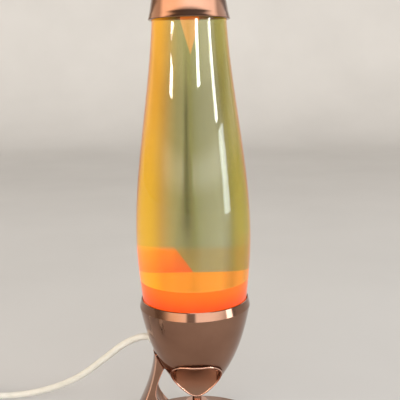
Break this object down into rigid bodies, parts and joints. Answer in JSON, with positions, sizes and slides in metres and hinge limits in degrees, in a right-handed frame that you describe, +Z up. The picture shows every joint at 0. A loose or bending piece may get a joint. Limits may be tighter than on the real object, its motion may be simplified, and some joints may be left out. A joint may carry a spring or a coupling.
{
  "type": "liquid motion lamp",
  "caption": "Table lamp whose tapered glass bottle of yellow liquid and orange wax sits in a copper pod, carried by a curved tail fin on a flared foot under a copper cap.",
  "frame": {"origin": "on the table, on the bottle's upright axis", "axes": "+Z up along the bottle's axis, +X from the fin through the pod, -Y the side with the scoop"},
  "size_m": [0.3665, 0.1415, 0.432],
  "materials": {
    "copper": "polished copper plating on spun sheet",
    "cap_pad": "soft foam rubber",
    "bottle_glass": "clear glass",
    "stopper": "pressed crown, satin",
    "liquid": "clear yellow liquid",
    "wax": "glowing orange wax",
    "wire": "bright wire",
    "seat_rubber": "black rubber",
    "steel": "plain zinc-plated steel",
    "holder_ceramic": "unglazed ceramic",
    "bulb_glass": "clear glass capsule",
    "pins": "plated contact pins",
    "lead": "heat-proof sleeve",
    "grommet": "soft moulded sleeve",
    "ballast": "raw cast weight",
    "cover": "black paint",
    "felt": "black felt",
    "cord": "off-white sheath",
    "switch": "off-white moulding",
    "rocker": "off-white moulding",
    "tie": "black strap",
    "plug": "off-white moulding"
  },
  "bodies": {
    "base": {"pod_shell": "copper", "bottle_ledge": "steel", "seat_ring": "seat_rubber", "holder_plate": "steel", "plate_screws": "steel", "bulb_holder": "holder_ceramic", "inner_leads": "lead", "cord_grommet": "grommet", "tail_fin": "copper", "fin_screws": "steel", "foot_dome": "copper", "stud": "steel", "stud_nuts": "steel", "stud_collar": "copper", "ballast_ring": "ballast", "base_cover": "cover", "cover_screws": "steel", "foot_pad": "felt", "cord": "cord", "switch_base": "switch", "switch_cover": "switch", "switch_screws": "steel", "cord_run": "cord", "cord_coil": "cord", "coil_tie": "tie", "cord_tail": "cord", "plug_body": "plug", "plug_pins": "pins"},
    "bottle": {"bottle_glass": "bottle_glass", "bottle_stopper": "stopper", "liquid": "liquid", "wax": "wax", "wax_coil": "wire"},
    "cap": {"crown_cap": "copper", "cap_pad": "cap_pad"},
    "bulb": {"bulb_capsule": "bulb_glass", "bulb_pins": "pins"},
    "rocker": {"switch_rocker": "rocker"}
  },
  "joints": [
    {"name": "bottle_lift", "type": "slide", "parent": "base", "child": "bottle", "axis": [0, 0, 1], "range_m": [0, 0.12]},
    {"name": "cap_lift", "type": "slide", "parent": "bottle", "child": "cap", "axis": [0, 0, 1], "range_m": [0, 0.08]},
    {"name": "bulb_pull", "type": "slide", "parent": "base", "child": "bulb", "axis": [0, 0, 1], "range_m": [0, 0.007]},
    {"name": "switch_rock", "type": "hinge", "parent": "base", "child": "rocker", "pos_m": [-0.234, 0.063, 0.015], "axis": [0, 1, 0], "range_deg": [-12, 0]}
  ]
}
